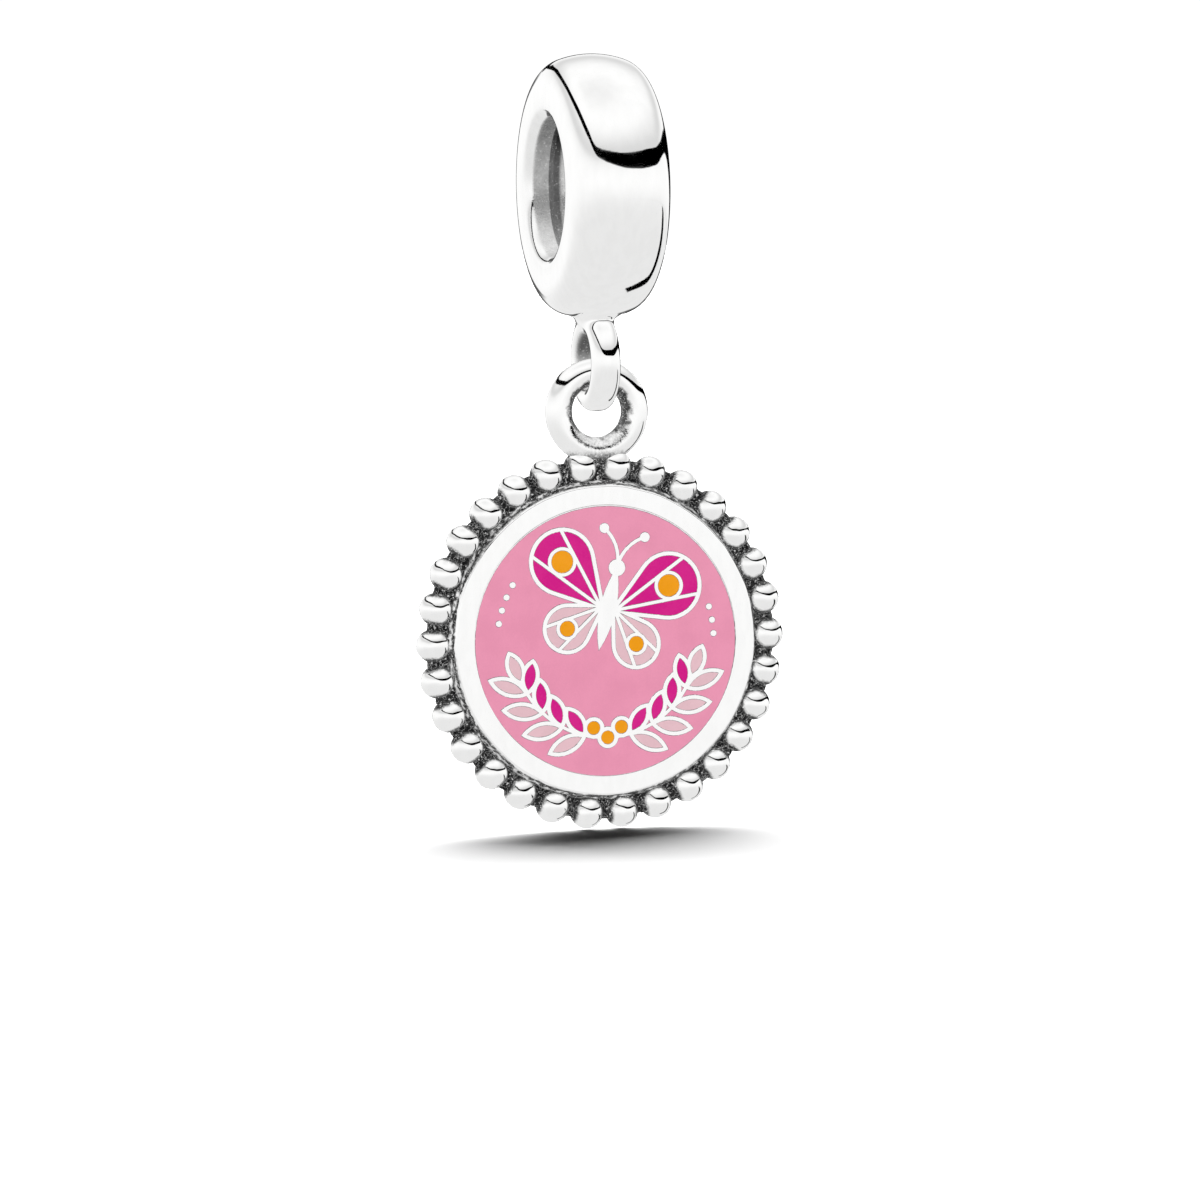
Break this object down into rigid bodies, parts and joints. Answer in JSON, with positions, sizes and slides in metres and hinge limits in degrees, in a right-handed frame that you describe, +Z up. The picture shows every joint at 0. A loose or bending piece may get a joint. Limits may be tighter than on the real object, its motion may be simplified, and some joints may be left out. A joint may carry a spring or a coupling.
{
  "type": "dangle charm",
  "caption": "Dangle charm: a domed bail ring with a soldered link, and a round medallion with a beaded rim and a champleve enamel picture of a butterfly over a leaf wreath.",
  "frame": {"origin": "centre of the bail's bore, where the charm hangs on its strand", "axes": "+X along the bore, +Z up, enamel face towards -Y"},
  "size_m": [0.012, 0.0084, 0.0246],
  "materials": {
    "bright_silver": "polished sterling silver",
    "cast_silver": "polished cast sterling silver with darkened recesses",
    "enamel_pink": "glossy opaque enamel",
    "enamel_magenta": "glossy opaque enamel",
    "enamel_blush": "glossy opaque enamel",
    "enamel_orange": "glossy opaque enamel"
  },
  "bodies": {
    "bail": {"bail": "bright_silver"},
    "medallion": {"medallion": "cast_silver", "enamel_ground": "enamel_pink", "enamel_magenta": "enamel_magenta", "enamel_blush": "enamel_blush", "enamel_orange": "enamel_orange"}
  },
  "joints": [
    {"name": "medallion_swing", "type": "hinge", "parent": "bail", "child": "medallion", "pos_m": [0, 0, -0.00683], "axis": [0, 1, 0], "range_deg": [-100, 100]}
  ]
}
